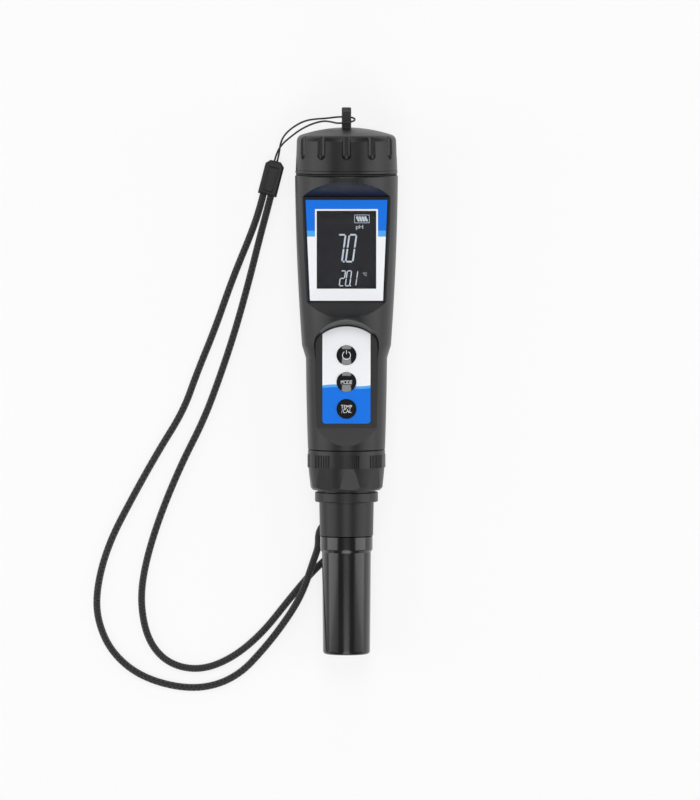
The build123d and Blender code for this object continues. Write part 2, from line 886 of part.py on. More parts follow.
def make_probe_body():
    """The plug-in electrode: guard, spigot, barrel, captive shoulder and plug."""
    spigot_bottom = barrel_bottom - spigot_length
    body = turned(
        (0, guard_end_station),
        (electrode_radius, guard_end_station),
        (electrode_radius, spigot_bottom - 0.8),
        (spigot_radius, spigot_bottom),
        (spigot_radius, barrel_bottom),
        (barrel_bottom_radius, barrel_bottom),
        (barrel_top_radius, barrel_top),
        (barrel_top_radius, stop_ring_top),
        (neck_radius, stop_ring_top),
        (neck_radius, shoulder_bottom),
        (shoulder_radius, shoulder_bottom),
        (shoulder_radius, shoulder_top),
        (plug_radius, shoulder_top),
        (plug_radius, plug_top - 0.5),
        (plug_radius - 0.5, plug_top),
        (0, plug_top),
    )
    face = guard_end_station + electrode_face_depth
    body -= rod(electrode_radius - guard_wall, guard_end_station - 1, face)
    half = guard_slot_width / 2
    slot_top = guard_end_station + guard_slot_height
    for index in range(guard_slot_count // 2):
        slot = slab(-half, half, -spigot_radius, spigot_radius, guard_end_station - 1, slot_top)
        body -= Rot(0, 0, 45 + 90 * index) * slot
    body -= seal_groove(spigot_radius, spigot_ring_section, spigot_ring_station)
    body -= seal_groove(plug_radius, plug_ring_section, plug_ring_station)
    for x, y, radius in sensor_places():
        body -= rod(radius + seat_gap, face - 1, face + sensor_seat_depth, x, y)
    for x, y in pin_places():
        body -= rod(pin_radius + seat_gap, plug_top - 2, plug_top + 1, x, y)
    return body


def sensor_places():
    """Each sensor's seat in the electrode's face, as (x, y, radius)."""
    places = [(*bulb_offset, bulb_stem_radius), (*junction_offset, junction_radius)]
    places += [(x, y, electrode_pin_radius) for x, y in electrode_pin_offsets]
    places.append((*thermometer_offset, thermometer_radius))
    return places


def pin_places():
    """The places of the plug's contact pins, as (x, y)."""
    places = []
    for index in range(pin_count):
        angle = 2 * math.pi * (index + 0.5) / pin_count
        places.append((pin_circle_radius * math.cos(angle), pin_circle_radius * math.sin(angle)))
    return places


def make_bulb():
    """The pH glass: a thin stem that ends in a round bulb."""
    x, y = bulb_offset
    face = guard_end_station + electrode_face_depth
    middle = face - bulb_stem_length - bulb_radius * 0.8
    stem = rod(bulb_stem_radius, middle, face + sensor_seat_depth - seat_gap, x, y)
    return stem + Pos(x, y, middle) * Sphere(bulb_radius)


def make_junction():
    x, y = junction_offset
    face = guard_end_station + electrode_face_depth
    return rod(junction_radius, face - junction_height, face + sensor_seat_depth - seat_gap, x, y)


def make_electrode_pins():
    """Two conductivity pins with rounded tips."""
    face = guard_end_station + electrode_face_depth
    pins = []
    for x, y in electrode_pin_offsets:
        low = face - electrode_pin_height
        pin = rod(electrode_pin_radius, low, face + sensor_seat_depth - seat_gap, x, y)
        pins.append(pin + Pos(x, y, low) * Sphere(electrode_pin_radius))
    return pins


def make_thermometer():
    x, y = thermometer_offset
    face = guard_end_station + electrode_face_depth
    low = face - thermometer_height
    body = rod(thermometer_radius, low, face + sensor_seat_depth - seat_gap, x, y)
    return body + Pos(x, y, low) * Sphere(thermometer_radius)


def make_pins():
    """The plug's gold contact pins."""
    pins = []
    for x, y in pin_places():
        pin = rod(pin_radius, plug_top - 2 + seat_gap, plug_top + pin_length - 0.5, x, y)
        pins.append(pin + Pos(x, y, plug_top + pin_length - 0.5) * Sphere(pin_radius))
    return pins


def make_socket():
    """The socket that takes the plug's pins, seated against the housing's ledge."""
    body = rod(plug_radius, socket_bottom, socket_top - seat_gap)
    body += rod(socket_boss_radius, socket_top - 1, bay_floor + socket_boss_rise)
    for x, y in pin_places():
        body -= rod(pin_radius + 0.1, socket_bottom - 1, plug_top + pin_length + 0.4, x, y)
    return body


def make_probe_cap():
    flare_low = probe_cap_length - probe_cap_lip_height - probe_cap_flare
    face = make_face(
        Polyline(
            (0, 0),
            (probe_cap_end_radius, 0),
            (probe_cap_neck_radius, flare_low),
            (probe_cap_lip_radius, flare_low + probe_cap_flare),
            (probe_cap_lip_radius, probe_cap_length),
            (0, probe_cap_length),
            close=True,
        )
    )
    body = turned_face(face)
    body = fillet(ring_edges(body, 0), probe_cap_end_round)
    body = fillet(ring_edges(body, flare_low + probe_cap_flare), 0.5)
    body = chamfer(ring_edges(body, probe_cap_length), 0.25)
    bore = spigot_radius + running_gap
    seat_low = barrel_bottom - spigot_length - 1.0
    body -= turned(
        (0, probe_cap_floor),
        (probe_cap_end_radius - probe_cap_wall, probe_cap_floor),
        (probe_cap_neck_radius - probe_cap_wall, seat_low),
        (bore, seat_low + 0.5),
        (bore, probe_cap_length + 1),
        (0, probe_cap_length + 1),
    )
    return body


def make_sponge():
    radius = probe_cap_end_radius - probe_cap_wall - sponge_gap
    return rod(radius, probe_cap_floor, probe_cap_floor + sponge_height)


def clip_frame():
    """The clip's own frame: X across it, Y towards the pen's eye, Z up from the table."""
    return Pos(clip_middle[0], clip_middle[1], 0) * Rot(0, 0, -clip_lean)


def clip_exit(side, spread, end, lead):
    """A point straight out of one end of the clip, at the lead from its face."""
    reach = end * (clip_length / 2 + lead)
    place = clip_frame() * Pos(side * spread, reach, clip_height / 2)
    return tuple(place.position)


def from_clip(route, spread, end, lead):
    """A route with the two points at each of its ends that lead straight out of the clip."""
    start = [clip_exit(end, spread, end, gap) for gap in (seat_gap, lead)]
    finish = [clip_exit(-end, spread, end, gap) for gap in (lead, seat_gap)]
    return start + route + finish


def make_clip():
    """The lanyard clip: a bevelled block with a raised panel and a hole for each cord."""
    outline = Rectangle(clip_width, clip_length)
    top_corners = outline.vertices().group_by(Axis.Y)[-1]
    outline = chamfer(top_corners, clip_corner)
    block = extrude(outline, amount=clip_height)
    upper = [edge for edge in block.edges() if edge.center().Z > clip_height - 0.01]
    lower = [edge for edge in block.edges() if edge.center().Z < 0.01]
    block = chamfer(upper + lower, clip_bevel)
    panel_cut = Pos(0, -0.6, clip_height - 0.25) * Box(clip_width - 3.0, clip_length - 3.4, 1)
    ridge = Pos(0, -0.6, clip_height - 0.5) * Box(clip_width - 4.2, clip_length - 4.6, 1)
    block -= panel_cut - ridge
    return clip_frame() * block


def corner_radii(points):
    """The radius of each tangent arc, as large as its two runs allow."""
    radii = []
    for before, here, after in zip(points, points[1:], points[2:]):
        run_in = Vector(*here) - Vector(*before)
        run_out = Vector(*after) - Vector(*here)
        half_turn = math.radians(run_in.get_angle(run_out)) / 2
        radii.append(0.45 * min(run_in.length, run_out.length) / math.tan(half_turn))
    return radii


def make_cord(points, diameter, name):
    """A round cord along straight runs joined by tangent arcs."""
    radii = corner_radii(points)
    route = FilletPolyline(*points, radius=radii)
    section = Plane(origin=route @ 0, z_dir=route % 0) * Circle(diameter / 2)
    cord = sweep(section, path=route)
    expected = math.pi * (diameter / 2) ** 2 * route.length
    tightest = min(radii)
    print(f"{name}: length {route.length:.1f}, tightest arc {tightest:.2f}, widest {max(radii):.0f}")
    print(f"{name}: volume {cord.volume:.1f} against {expected:.1f}")
    return cord


def pen_parts():
    """Every rigid piece of the pen, upright, by its node's name."""
    parts = {
        "housing": make_housing(),
        "display_window": make_display_window(),
        "display_label": make_display_label(),
        "display_panel": make_display_panel(),
        "display_carrier": make_display_carrier(),
        "keypad_label": make_keypad_label(),
        "keypad_seal": make_keypad_seal(),
        "tactile_switches": make_switches(),
        "main_board": make_board(),
        "board_screws": make_screws(),
        "board_components": make_board_parts(),
        "battery_tray": make_tray(),
        "battery_cell_left": make_cell(-1),
        "battery_cell_right": make_cell(1),
        "tray_contacts": make_tray_contacts(),
        "contact_plate": make_contact_plate(),
        "neck_seal_ring": o_ring(
            neck_groove_radius() + neck_ring_section + seat_gap,
            neck_ring_section,
            rim + neck_ring_rise + neck_groove_height / 2,
        ),
        "cap_gasket": make_cap_gasket(),
        "cap_ring": make_cap_ring(),
        "battery_cap": make_battery_cap(),
        "lanyard_eye": make_lanyard_eye(),
        "lock_collar": make_collar(),
        "stop_ring": make_stop_ring(),
        "probe_body": make_probe_body(),
        "probe_pins": make_pins(),
        "probe_socket": make_socket(),
        "probe_seal_ring": o_ring(
            plug_radius - plug_ring_section + 0.04, plug_ring_section - 0.02, plug_ring_station
        ),
        "ph_bulb": make_bulb(),
        "reference_junction": make_junction(),
        "conductivity_pins": make_electrode_pins(),
        "temperature_sensor": make_thermometer(),
        "probe_cap": make_probe_cap(),
        "probe_cap_seal": o_ring(
            spigot_radius - spigot_ring_section + 0.04, spigot_ring_section - 0.02, spigot_ring_station
        ),
        "soaking_sponge": make_sponge(),
    }
    for name, height in zip(button_names, button_heights):
        parts[name] = make_button(height)
    return parts


def laid_down(parts):
    """The pen on its back: tilted on its two rest points, centred on its length, lowest point at zero."""
    tilt = Rot(rest_tilt - 90, 0, 0)
    tilted = {}
    for name, shape in parts.items():
        solids = shape if isinstance(shape, list) else [shape]
        tilted[name] = Compound(children=[tilt * solid for part in solids for solid in part.solids()])
    bounds = Compound([solid for shape in tilted.values() for solid in shape.solids()]).bounding_box()
    shift = Pos(0, -(bounds.min.Y + bounds.max.Y) / 2, -bounds.min.Z)
    print(f"tilt {rest_tilt:.4f}, shift Y {shift.position.Y:.4f}, shift Z {shift.position.Z:.4f}")
    return {name: shift * shape for name, shape in tilted.items()}


def main():
    os.makedirs("parts", exist_ok=True)
    parts = laid_down(pen_parts())
    parts["lanyard_clip"] = make_clip()
    string_points = from_clip(string_route, string_spread, 1, string_lead)
    cord_points = from_clip(cord_route, cord_spread, -1, cord_lead)
    parts["lanyard_string"] = make_cord(string_points, string_diameter, "string")
    parts["wrist_cord"] = make_cord(cord_points, cord_diameter, "wrist cord")
    print(f"stations: cap top {cap_apex:.3f}, with the eye {pen_length:.3f}, eye slot {eye_slot_middle:.3f}")
    print(f"stations: guard end {guard_end_station:.3f}, sponge top {probe_cap_floor + sponge_height:.3f}")
    print(f"stations: lowest key {button_heights[0]:.3f}, window middle {window_middle:.3f}")
    for name, shape in parts.items():
        export_step(shape, f"parts/{name}.step")


main()
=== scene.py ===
"""Dresses the water tester pen: plastics, printed labels, display, legends, lanyard and studio."""

import json
import math

import bmesh
import bpy
from mathutils import Matrix, Vector


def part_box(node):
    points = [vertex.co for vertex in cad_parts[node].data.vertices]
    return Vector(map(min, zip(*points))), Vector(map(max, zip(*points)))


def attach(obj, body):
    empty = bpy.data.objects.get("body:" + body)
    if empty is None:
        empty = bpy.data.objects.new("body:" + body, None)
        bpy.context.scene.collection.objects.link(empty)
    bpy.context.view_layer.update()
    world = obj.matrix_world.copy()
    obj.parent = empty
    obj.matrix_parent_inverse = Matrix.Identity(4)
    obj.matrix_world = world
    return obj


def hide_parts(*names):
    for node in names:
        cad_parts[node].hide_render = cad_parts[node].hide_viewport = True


bl_info = {
    "name": "Water Tester Pen",
    "version": (1, 0, 0),
    "blender": (4, 5, 0),
    "location": "View3D > Sidebar > Tester Pen",
    "description": "Dresses the packed model of a pen-type water tester",
    "category": "Object",
}

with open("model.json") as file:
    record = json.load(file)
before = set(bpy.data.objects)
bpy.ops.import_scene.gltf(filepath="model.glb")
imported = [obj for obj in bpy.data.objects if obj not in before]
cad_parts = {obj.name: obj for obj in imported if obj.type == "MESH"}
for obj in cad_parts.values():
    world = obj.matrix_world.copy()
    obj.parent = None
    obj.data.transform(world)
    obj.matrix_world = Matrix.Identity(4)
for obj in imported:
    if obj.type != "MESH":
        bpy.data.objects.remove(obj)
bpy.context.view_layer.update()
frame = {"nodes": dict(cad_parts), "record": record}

MM = 0.001

# The pen's own frame: X across it, Y along it from the probe cap's end, Z out of the display
END_MOUNT = frame["record"]["mounts"][0]
PEN_ORIGIN = Vector(END_MOUNT["pos_m"])
PEN_TILT = math.atan2(-END_MOUNT["axis"][2], -END_MOUNT["axis"][1])
PEN = Matrix.Translation(PEN_ORIGIN) @ Matrix.Rotation(PEN_TILT, 4, "X")

# The lanyard's routes in metres
STRING_ROUTE = [
    (-0.02570, 0.08158, 0.00230),
    (-0.02496, 0.08445, 0.00230),
    (-0.02450, 0.08830, 0.00500),
    (-0.02290, 0.09140, 0.00820),
    (-0.01960, 0.09420, 0.01110),
    (-0.01550, 0.09630, 0.01420),
    (-0.01140, 0.09690, 0.01710),
    (-0.00740, 0.09700, 0.01980),
    (-0.00300, 0.09760, 0.02090),
    (0.00290, 0.09740, 0.02120),
    (0.00320, 0.09570, 0.02540),
    (-0.00300, 0.09490, 0.02540),
    (-0.00560, 0.09570, 0.02180),
    (-0.00870, 0.09620, 0.01700),
    (-0.01300, 0.09510, 0.01340),
    (-0.01700, 0.09320, 0.01060),
    (-0.02060, 0.09060, 0.00790),
    (-0.02390, 0.08790, 0.00520),
    (-0.02593, 0.08470, 0.00230),
    (-0.02667, 0.08183, 0.00230),
]
CORD_ROUTE = [
    (-0.03083, 0.06941, 0.00230),
    (-0.03245, 0.06315, 0.00230),
    (-0.03550, 0.05450, 0.00135),
    (-0.04240, 0.03780, 0.00135),
    (-0.04880, 0.01940, 0.00135),
    (-0.05550, 0.00310, 0.00135),
    (-0.06050, -0.01100, 0.00135),
    (-0.06990, -0.02600, 0.00135),
    (-0.07950, -0.04320, 0.00135),
    (-0.08810, -0.05980, 0.00135),
    (-0.09250, -0.07540, 0.00135),
    (-0.09270, -0.08790, 0.00135),
    (-0.08710, -0.10090, 0.00135),
    (-0.07490, -0.11050, 0.00135),
    (-0.05610, -0.11460, 0.00135),
    (-0.04090, -0.11010, 0.00135),
    (-0.02940, -0.09790, 0.00135),
    (-0.02020, -0.08540, 0.00240),
    (-0.01570, -0.07680, 0.00470),
    (-0.01240, -0.06690, 0.00470),
    (-0.01040, -0.06130, 0.00230),
    (-0.01050, -0.05690, 0.00135),
    (-0.00910, -0.05350, 0.00135),
    (-0.00610, -0.05240, 0.00135),
    (-0.00350, -0.05500, 0.00135),
    (-0.00310, -0.05980, 0.00135),
    (-0.00540, -0.06390, 0.00135),
    (-0.00910, -0.06720, 0.00135),
    (-0.01390, -0.07200, 0.00135),
    (-0.02130, -0.08090, 0.00135),
    (-0.03130, -0.09350, 0.00135),
    (-0.04240, -0.10270, 0.00135),
    (-0.05420, -0.10720, 0.00135),
    (-0.06570, -0.10500, 0.00135),
    (-0.07340, -0.09680, 0.00135),
    (-0.07640, -0.08350, 0.00135),
    (-0.07530, -0.07020, 0.00135),
    (-0.07010, -0.05210, 0.00135),
    (-0.06160, -0.03130, 0.00135),
    (-0.05290, -0.01430, 0.00135),
    (-0.04660, 0.00270, 0.00135),
    (-0.04110, 0.01940, 0.00135),
    (-0.03610, 0.03750, 0.00135),
    (-0.03210, 0.05360, 0.00135),
    (-0.02970, 0.06244, 0.00230),
    (-0.02808, 0.06870, 0.00230),
]

# The bars that each digit lights: a is at the top, then clockwise to f, and g is in the middle
DIGIT_BARS = {
    "0": "abcdef",
    "1": "bc",
    "2": "abged",
    "7": "abc",
}

# Both rows of digits, in millimetres: right end, foot, digit width, pitch and bar width
READING = {"right": 2.3, "low": 145.4, "width": 2.6, "pitch": 4.0, "line": 0.62}
TEMPERATURE = {"right": 3.4, "low": 136.5, "width": 1.6, "pitch": 2.25, "line": 0.4}

# The battery sign, in millimetres: its middle, its outline and its four leaning bars
BATTERY_PLACE = (5.7, 161.15)
BATTERY_OUTLINE = (5.4, 2.9)
BATTERY_OUTLINE_LINE = 0.18
BATTERY_BAR = (2.2, 0.8)
BATTERY_BAR_PITCH = 1.0
BATTERY_BAR_LEAN = math.radians(24)

# How far signs stand off the panel, and lettering off its key, in millimetres
SIGN_THICKNESS = 0.02
LETTER_THICKNESS = 0.03

# The display label is this much narrower on each side at its foot than at its top, in millimetres
LABEL_TAPER = 1.65

# The waved edge of the keypad label's bands: waves per millimetre across, in radians, and depth
WAVE_TURN = 0.35
WAVE_DEPTH = 0.35

# Yarns that cross round a cord
YARNS_AROUND = 4

# The softboxes, in metres: width and height, how far to the side, and how high; the gap between
# the overhead pair leaves the keys' middles dark
SIDE_LAMP, SIDE_REACH, SIDE_HEIGHT = (0.35, 0.9), 0.75, 0.3
TOP_LAMP, TOP_REACH, TOP_HEIGHT = (0.6, 0.7), 0.62, 1.2
END_LAMP, END_REACH, END_HEIGHT = (0.6, 0.3), 1.2, 0.5
LAMP_AIM = Vector((0, 0, 0.01))


def millimetres(name, default, description):
    """A size in millimetres that a user can change."""
    return bpy.props.FloatProperty(
        name=name, default=default, description=description, unit="NONE", precision=3
    )


def watts(name, default, description):
    """A lamp's power that a user can change."""
    return bpy.props.FloatProperty(name=name, default=default, description=description, unit="POWER")


def hex_colour(code):
    """The linear colour of an sRGB hex value, with full opacity."""
    channels = [int(code[start : start + 2], 16) / 255 for start in (1, 3, 5)]
    linear = [c / 12.92 if c <= 0.04045 else ((c + 0.055) / 1.055) ** 2.4 for c in channels]
    return (*linear, 1.0)


def colour(name, code, description):
    """A colour that a user can change."""
    return bpy.props.FloatVectorProperty(
        name=name, subtype="COLOR", size=4, min=0, max=1, default=hex_colour(code), description=description
    )


class PenColours(bpy.types.PropertyGroup):
    """The colours of the pen's surfaces."""

    body: colour("Body", "#0D0D0F", "Satin moulded housing, cap, collar and probe")
    gloss: colour("Gloss", "#08080A", "Polished probe cap and keys")
    blue: colour("Blue", "#0073E6", "Printed blue of both labels")
    pale_blue: colour("Pale blue", "#4FA8F0", "Thin stripe between blue and white")
    white: colour("White", "#F4F5F8", "Printed white of both labels")
    edge: colour("Edge", "#0F1620", "Dark border of the display label")
    display: colour("Display", "#1F1E26", "Display glass")
    digits: colour("Digits", "#C3CBD4", "Lit segments and signs")
    cord: colour("Cord", "#18181A", "Braided wrist cord and string")


class DisplaySizes(bpy.types.PropertyGroup):
    """Where the label's bands and the display's signs are, in millimetres."""

    middle: millimetres("Middle", 149.85, "Station of the window's middle")
    window_width: millimetres("Window width", 21.9, "Clear opening across")
    window_height: millimetres("Window height", 28.7, "Clear opening along the pen")
    frame_line: millimetres("Frame line", 0.63, "White line round the window")
    border: millimetres("Border", 0.72, "Dark border at the label's sides and top")
    blue_low: millimetres("Blue low", 156.9, "Lower edge of the blue")
    pale_low: millimetres("Pale low", 154.7, "Lower edge of the pale stripe")
    panel_lift: millimetres("Panel lift", 7.29, "Panel's face above the pen's axis")
    big_digit: millimetres("Big digit", 9.9, "Height of the reading")
    small_digit: millimetres("Small digit", 5.5, "Height of the temperature")
    slant: millimetres("Slant", 0.14, "How far the digits lean, as a share of their height")


class KeypadSizes(bpy.types.PropertyGroup):
    """Where the keypad label's bands and the keys' signs are, in millimetres."""

    first_key: millimetres("First key", 91.2, "Station of the lowest key")
    pitch: millimetres("Pitch", 9.9, "From one key to the next")
    face_lift: millimetres("Face lift", 10.56, "Top of the keys above the pen's axis")
    white_low: millimetres("White low", 99.9, "Lower edge of the white")
    stripe: millimetres("Stripe", 1.0, "Width of the pale stripe")
    power_radius: millimetres("Power radius", 1.5, "Radius of the power sign")
    line: millimetres("Line", 0.26, "Line width of the power sign")
    letter_width: millimetres("Letter width", 4.1, "Width of a word on a key")


class LanyardSizes(bpy.types.PropertyGroup):
    """The lanyard's thicknesses and lengths, in millimetres."""

    cord: millimetres("Cord", 2.6, "Diameter of the wrist cord")
    cord_length: millimetres("Cord length", 575.0, "Length of the wrist cord")
    string: millimetres("String", 0.7, "Diameter of the string")
    string_length: millimetres("String length", 88.0, "Length of the string")
    pick: millimetres("Pick", 1.3, "Length of one braid crossing")


class StudioSizes(bpy.types.PropertyGroup):
    """The camera, floor and lamps."""

    camera_height: millimetres("Camera height", 3500.0, "Camera above the table")
    view_height: millimetres("View height", 296.0, "How much of the table the picture takes in")
    centre_x: millimetres("Centre X", 1.3, "Middle of the picture across")
    centre_y: millimetres("Centre Y", -6.9, "Middle of the picture along")
    focus_height: millimetres("Focus height", 10.0, "Level above the table where the view height is true")
    floor: millimetres("Floor", 6000.0, "Width of the floor")
    side_power: watts("Side power", 2.5, "Each side lamp")
    top_power: watts("Top power", 5.0, "Each overhead lamp")
    end_power: watts("End power", 2.0, "Each lamp past an end")


def node(tree, kind, inputs=None, **settings):
    """Adds a node with its settings; an input is a value or another node's output."""
    made = tree.nodes.new(kind)
    for name, value in settings.items():
        setattr(made, name, value)
    for key, value in (inputs or {}).items():
        if isinstance(value, bpy.types.NodeSocket):
            tree.links.new(value, made.inputs[key])
        else:
            made.inputs[key].default_value = value
    return made


def new_material(name):
    """An empty material with an output."""
    material = bpy.data.materials.new(name)
    material.use_nodes = True
    material.node_tree.nodes.clear()
    return material, material.node_tree


def finish_material(tree, shader):
    """Sends a shader to the material's output."""
    node(tree, "ShaderNodeOutputMaterial", {"Surface": shader.outputs[0]})


def bumps(tree, height, strength, depth):
    """The normals of a relief whose depth is in millimetres."""
    relief = node(tree, "ShaderNodeBump", {"Height": height, "Strength": strength, "Distance": depth * MM})
    return relief.outputs[0]


def moulded(name, base, roughness, grain, depth, coat=0.0, metallic=0.0, mottle=0.12):
    """A surface with a fine grain in its relief and a faint drift in its colour and gloss."""
    material, tree = new_material(name)
    place = node(tree, "ShaderNodeTexCoord").outputs["Object"]
    drift = node(tree, "ShaderNodeTexNoise", {"Vector": place, "Scale": 1 / (14 * MM), "Detail": 3.0})
    grains = node(tree, "ShaderNodeTexNoise", {"Vector": place, "Scale": 1 / (grain * MM), "Detail": 2.0})
    light = tuple(min(1, c * (1 + mottle)) for c in base[:3]) + (1.0,)
    dark = tuple(c * (1 - mottle) for c in base[:3]) + (1.0,)
    tint = layered(tree, dark, light, drift.outputs["Fac"])
    spread = node(
        tree,
        "ShaderNodeMapRange",
        {"Value": drift.outputs["Fac"], "To Min": roughness - 0.03, "To Max": roughness + 0.03},
    )
    relief = bumps(tree, grains.outputs["Fac"], 0.5, depth)
    shader = node(
        tree,
        "ShaderNodeBsdfPrincipled",
        {
            "Base Color": tint,
            "Roughness": spread.outputs[0],
            "Metallic": metallic,
            "Coat Weight": coat,
            "Coat Roughness": 0.06,
            "Normal": relief,
        },
    )
    finish_material(tree, shader)
    return material


def clear(name, tint, roughness):
    """Clear plastic or glass."""
    material, tree = new_material(name)
    place = node(tree, "ShaderNodeTexCoord").outputs["Object"]
    haze = node(tree, "ShaderNodeTexNoise", {"Vector": place, "Scale": 1 / (6 * MM)})
    spread = node(
        tree,
        "ShaderNodeMapRange",
        {"Value": haze.outputs["Fac"], "To Min": roughness, "To Max": roughness + 0.02},
    )
    shader = node(
        tree,
        "ShaderNodeBsdfPrincipled",
        {"Base Color": tint, "Roughness": spread.outputs[0], "Transmission Weight": 1.0, "IOR": 1.45},
    )
    finish_material(tree, shader)
    return material


def lit(name, tint, strength):
    """Display segments, which glow faintly."""
    material, tree = new_material(name)
    place = node(tree, "ShaderNodeTexCoord").outputs["Object"]
    drift = node(tree, "ShaderNodeTexNoise", {"Vector": place, "Scale": 1 / (3 * MM)})
    glow = node(
        tree,
        "ShaderNodeMapRange",
        {"Value": drift.outputs["Fac"], "To Min": strength * 0.9, "To Max": strength},
    )
    shader = node(
        tree,
        "ShaderNodeBsdfPrincipled",
        {"Base Color": tint, "Roughness": 0.5, "Emission Color": tint, "Emission Strength": glow.outputs[0]},
    )
    finish_material(tree, shader)
    return material


def pen_place(tree):
    """Object coordinates turned into the pen's own frame, in millimetres, as separate X, Y and Z."""
    back = PEN.inverted()
    place = node(
        tree,
        "ShaderNodeMapping",
        {
            "Vector": node(tree, "ShaderNodeTexCoord").outputs["Object"],
            "Location": [v / MM for v in back.to_translation()],
            "Rotation": back.to_euler(),
            "Scale": (1 / MM, 1 / MM, 1 / MM),
        },
        vector_type="POINT",
    )
    return node(tree, "ShaderNodeSeparateXYZ", {"Vector": place.outputs[0]})


def sum_of(tree, operation, first, second=0.0, third=0.0):
    """One step of arithmetic."""
    return node(tree, "ShaderNodeMath", {0: first, 1: second, 2: third}, operation=operation).outputs[0]


def layered(tree, under, over, mask):
    """One printed colour over another where the mask is 1."""
    mixed = node(tree, "ShaderNodeMix", {"Factor": mask}, data_type="RGBA")
    sockets = [s for s in mixed.inputs if s.type == "RGBA"]
    for socket, value in zip(sockets, (under, over)):
        if isinstance(value, bpy.types.NodeSocket):
            tree.links.new(value, socket)
        else:
            socket.default_value = value
    return [s for s in mixed.outputs if s.type == "RGBA"][0]


def film(tree, printed):
    """Printed polycarbonate film: even colour under a soft sheen with a faint stipple."""
    place = node(tree, "ShaderNodeTexCoord").outputs["Object"]
    stipple = node(tree, "ShaderNodeTexNoise", {"Vector": place, "Scale": 1 / (0.35 * MM)})
    relief = bumps(tree, stipple.outputs["Fac"], 0.3, 0.01)
    shader = node(
        tree,
        "ShaderNodeBsdfPrincipled",
        {"Base Color": printed, "Roughness": 0.42, "Specular IOR Level": 0.2, "Normal": relief},
    )
    finish_material(tree, shader)


def display_print(colours, sizes):
    """The display label: blue over a pale stripe over white, a white line round the window, a dark border."""
    material, tree = new_material("printed_film_display")
    place = pen_place(tree)
    across, along = sum_of(tree, "ABSOLUTE", place.outputs["X"]), place.outputs["Y"]
    above_white = sum_of(tree, "GREATER_THAN", along, sizes.pale_low)
    printed = layered(tree, colours.white, colours.pale_blue, above_white)
    printed = layered(tree, printed, colours.blue, sum_of(tree, "GREATER_THAN", along, sizes.blue_low))
    off_side = sum_of(tree, "SUBTRACT", across, sizes.window_width / 2)
    rise = sum_of(tree, "ABSOLUTE", sum_of(tree, "SUBTRACT", along, sizes.middle))
    off_end = sum_of(tree, "SUBTRACT", rise, sizes.window_height / 2)
    near = sum_of(tree, "LESS_THAN", sum_of(tree, "MAXIMUM", off_side, off_end), sizes.frame_line)
    printed = layered(tree, printed, colours.white, near)
    low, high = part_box("display_label")
    bottom, top = ((PEN.inverted() @ corner).y / MM for corner in (low, high))
    half_top = (high.x - low.x) / 2 / MM
    lean = LABEL_TAPER / (top - bottom)
    edge_line = sum_of(tree, "MULTIPLY_ADD", sum_of(tree, "SUBTRACT", top, along), lean, across)
    on_edge = sum_of(tree, "GREATER_THAN", edge_line, half_top - sizes.border)
    on_top = sum_of(tree, "GREATER_THAN", along, top - sizes.border)
    printed = layered(tree, printed, colours.edge, sum_of(tree, "MAXIMUM", on_edge, on_top))
    film(tree, printed)
    return material


def keypad_print(colours, sizes):
    """The keypad label: white over a pale stripe over blue, with a gently waved edge."""
    material, tree = new_material("printed_film_keypad")
    place = pen_place(tree)
    wave = sum_of(tree, "SINE", sum_of(tree, "MULTIPLY", place.outputs["X"], WAVE_TURN))
    along = sum_of(tree, "MULTIPLY_ADD", wave, WAVE_DEPTH, place.outputs["Y"])
    stripe_low = sizes.white_low - sizes.stripe
    printed = layered(tree, colours.blue, colours.pale_blue, sum_of(tree, "GREATER_THAN", along, stripe_low))
    printed = layered(tree, printed, colours.white, sum_of(tree, "GREATER_THAN", along, sizes.white_low))
    film(tree, printed)
    return material


def braid(name, base, pick, length, diameter):
    """Braided polyester: two sets of yarns that cross on the cord's own length and round, with painted
    highlight on their crests and painted shade in the hollows between them.
    """
    material, tree = new_material(name)
    place = node(tree, "ShaderNodeSeparateXYZ", {"Vector": node(tree, "ShaderNodeTexCoord").outputs["UV"]})
    along = sum_of(tree, "MULTIPLY", place.outputs["X"], 2 * math.pi * length / pick)
    around = sum_of(tree, "MULTIPLY", place.outputs["Y"], 2 * math.pi * YARNS_AROUND)
    one = sum_of(tree, "SINE", sum_of(tree, "ADD", along, around))
    other = sum_of(tree, "SINE", sum_of(tree, "SUBTRACT", along, around))
    height = sum_of(tree, "MAXIMUM", one, other)
    # Painted highlight and painted shade: the colour is lighter on the yarns' crests and darker in the
    # hollows, following the same height as the relief
    tint = layered(
        tree,
        tuple(c * 0.45 for c in base[:3]) + (1.0,),
        tuple(min(1, c * 1.9) for c in base[:3]) + (1.0,),
        sum_of(tree, "MULTIPLY_ADD", height, 0.5, 0.5),
    )
    relief = bumps(tree, height, 0.8, 0.12 * diameter)
    shader = node(
        tree,
        "ShaderNodeBsdfPrincipled",
        {"Base Color": tint, "Roughness": 0.72, "Sheen Weight": 0.25, "Normal": relief},
    )
    finish_material(tree, shader)
    return material


def piece_from(mesh, name, material, body, place=None):
    """Turns a bmesh into a finished piece that rides on a body."""
    bmesh.ops.recalc_face_normals(mesh, faces=mesh.faces)
    if place is not None:
        bmesh.ops.transform(mesh, matrix=place, verts=mesh.verts)
    data = bpy.data.meshes.new(name)
    mesh.to_mesh(data)
    mesh.free()
    made = bpy.data.objects.new(name, data)
    bpy.context.scene.collection.objects.link(made)
    data.materials.append(material)
    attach(made, body)
    return made


def on_face(x, station, lift, slant=0.0):
    """The place of a flat drawing, in millimetres, on a face of the pen at a lift above its axis."""
    lean = Matrix.Identity(4)
    lean[0][1] = slant
    scale = Matrix.Scale(MM, 4)
    return PEN @ Matrix.Translation(Vector((x, station, lift)) * MM) @ scale @ lean


